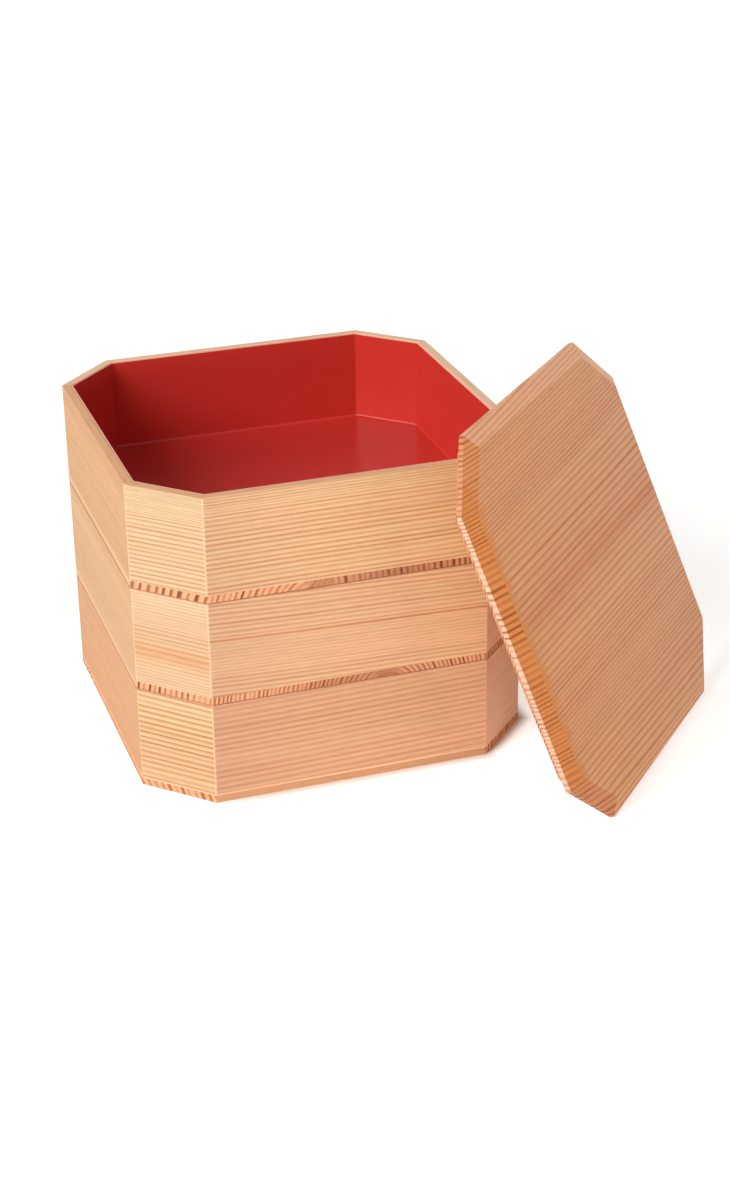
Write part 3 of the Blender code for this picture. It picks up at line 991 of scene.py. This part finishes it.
# Floor: its glow is full white far away, and falls to none in the shadow at the foot of the box
FLOOR_HALF = 4.0
FLOOR_WHITE = (0.88, 0.87, 0.85, 1.0)
FLOOR_GLOW = 0.6
FLOOR_FADE = (0.6, 1.6)
CONTACT_REACH = 0.008
CONTACT_START = -SIDE_REACH
CONTACT_FULL = -0.4 * SIDE_REACH

# World: strength of its light at the horizon and above
HORIZON_LIGHT = 0.4
ZENITH_LIGHT = 0.21
CEILING_HEIGHT = 0.4


def build_floor():
    """Plain white floor that keeps a faint shadow near the object and runs into the white background."""
    bm = bmesh.new()
    corners = ((-1, -1), (1, -1), (1, 1), (-1, 1))
    bm.faces.new([bm.verts.new((x * FLOOR_HALF, y * FLOOR_HALF, 0.0)) for x, y in corners])
    material = bpy.data.materials.new("white_floor")
    material.use_nodes = True
    tree = material.node_tree
    tree.nodes.clear()
    g = Graph(tree)
    diffuse = g.add("ShaderNodeBsdfDiffuse")
    diffuse.inputs["Color"].default_value = FLOOR_WHITE
    glow = g.add("ShaderNodeEmission")
    both = g.add("ShaderNodeAddShader")
    x, y = g.split(g.add("ShaderNodeTexCoord").outputs["Object"])[:2]
    far = g.smooth(g.length(x, y), *FLOOR_FADE)
    strength = g.math("MULTIPLY_ADD", far, 1.0 - FLOOR_GLOW, FLOOR_GLOW)
    side, depth = g.math("ABSOLUTE", x), g.math("ABSOLUTE", y)
    straight = g.math("SUBTRACT", g.math("MAXIMUM", side, depth), SIDE_REACH)
    slanted = g.math("MULTIPLY_ADD", g.math("ADD", side, depth), math.sqrt(0.5), -CORNER_REACH)
    near = g.below(g.math("MAXIMUM", straight, slanted), 0.0, CONTACT_REACH)
    near = g.math("MULTIPLY", near, g.smooth(x, CONTACT_START, CONTACT_FULL))
    strength = g.math("MULTIPLY", strength, g.inverse(near))
    g.feed(glow.inputs["Strength"], g.math("MULTIPLY", seen_directly(g), strength))
    g.feed(both.inputs[0], diffuse.outputs[0])
    g.feed(both.inputs[1], glow.outputs[0])
    output = g.add("ShaderNodeOutputMaterial")
    g.feed(output.inputs["Surface"], both.outputs[0])
    floor = finish_mesh(bm, "floor", material, BOARD_SMOOTH)


def build_world():
    """White background; as light, a pale horizon under a dim ceiling."""
    world = bpy.data.worlds.new("studio")
    world.use_nodes = True
    bpy.context.scene.world = world
    g = Graph(world.node_tree)
    background = world.node_tree.nodes["Background"]
    background.inputs["Color"].default_value = (1.0, 1.0, 1.0, 1.0)
    height = g.split(g.add("ShaderNodeTexCoord").outputs["Generated"])[2]
    ceiling = g.smooth(height, 0.0, CEILING_HEIGHT)
    light = g.math("MULTIPLY_ADD", ceiling, ZENITH_LIGHT - HORIZON_LIGHT, HORIZON_LIGHT)
    g.feed(background.inputs["Strength"], g.math("MAXIMUM", light, seen_directly(g)))


def from_left(bearing, height, distance):
    """Place at a bearing from the left towards the front and an angle above the horizon, in degrees."""
    turn, rise = math.radians(bearing), math.radians(height)
    level = distance * math.cos(rise)
    return (-level * math.cos(turn), -level * math.sin(turn), distance * math.sin(rise))


WHITE = (1.0, 1.0, 1.0)
DAYLIGHT = (1.0, 0.98, 0.95)
WARM = (1.0, 0.84, 0.68)
LAMP_TARGET = (0.0, -0.02, 0.1)

# Lamps: name, place, width and height in metres, power in watts, tint
LAMPS = (
    ("key", from_left(26.0, 32.0, 3.4), (1.6, 1.6), 102.0, DAYLIGHT),
    ("front_fill", (-0.15, -1.6, 0.14), (0.9, 0.22), 5.0, WARM),
    ("right_fill", (1.1, -1.6, 0.14), (1.1, 0.22), 11.6, WARM),
    ("back", (-0.3, 2.2, 1.9), (1.2, 1.2), 10.0, WHITE),
    ("side_fill", (1.6, -0.7, 0.14), (0.9, 0.22), 5.6, WARM),
)


def build_lights():
    """A large key lamp from the front left, one behind for the rims, and low fills from front and right."""
    for name, place, size, power, tint in LAMPS:
        area_lamp(name, place, LAMP_TARGET, size, power, tint)


bpy.context.scene.view_settings.view_transform = "Standard"
red_lacquer = lacquer()
for index, tier in enumerate(TIERS):
    build_tier(tier, index, red_lacquer)
build_lid()
build_floor()
build_world()
build_lights()
build_camera()
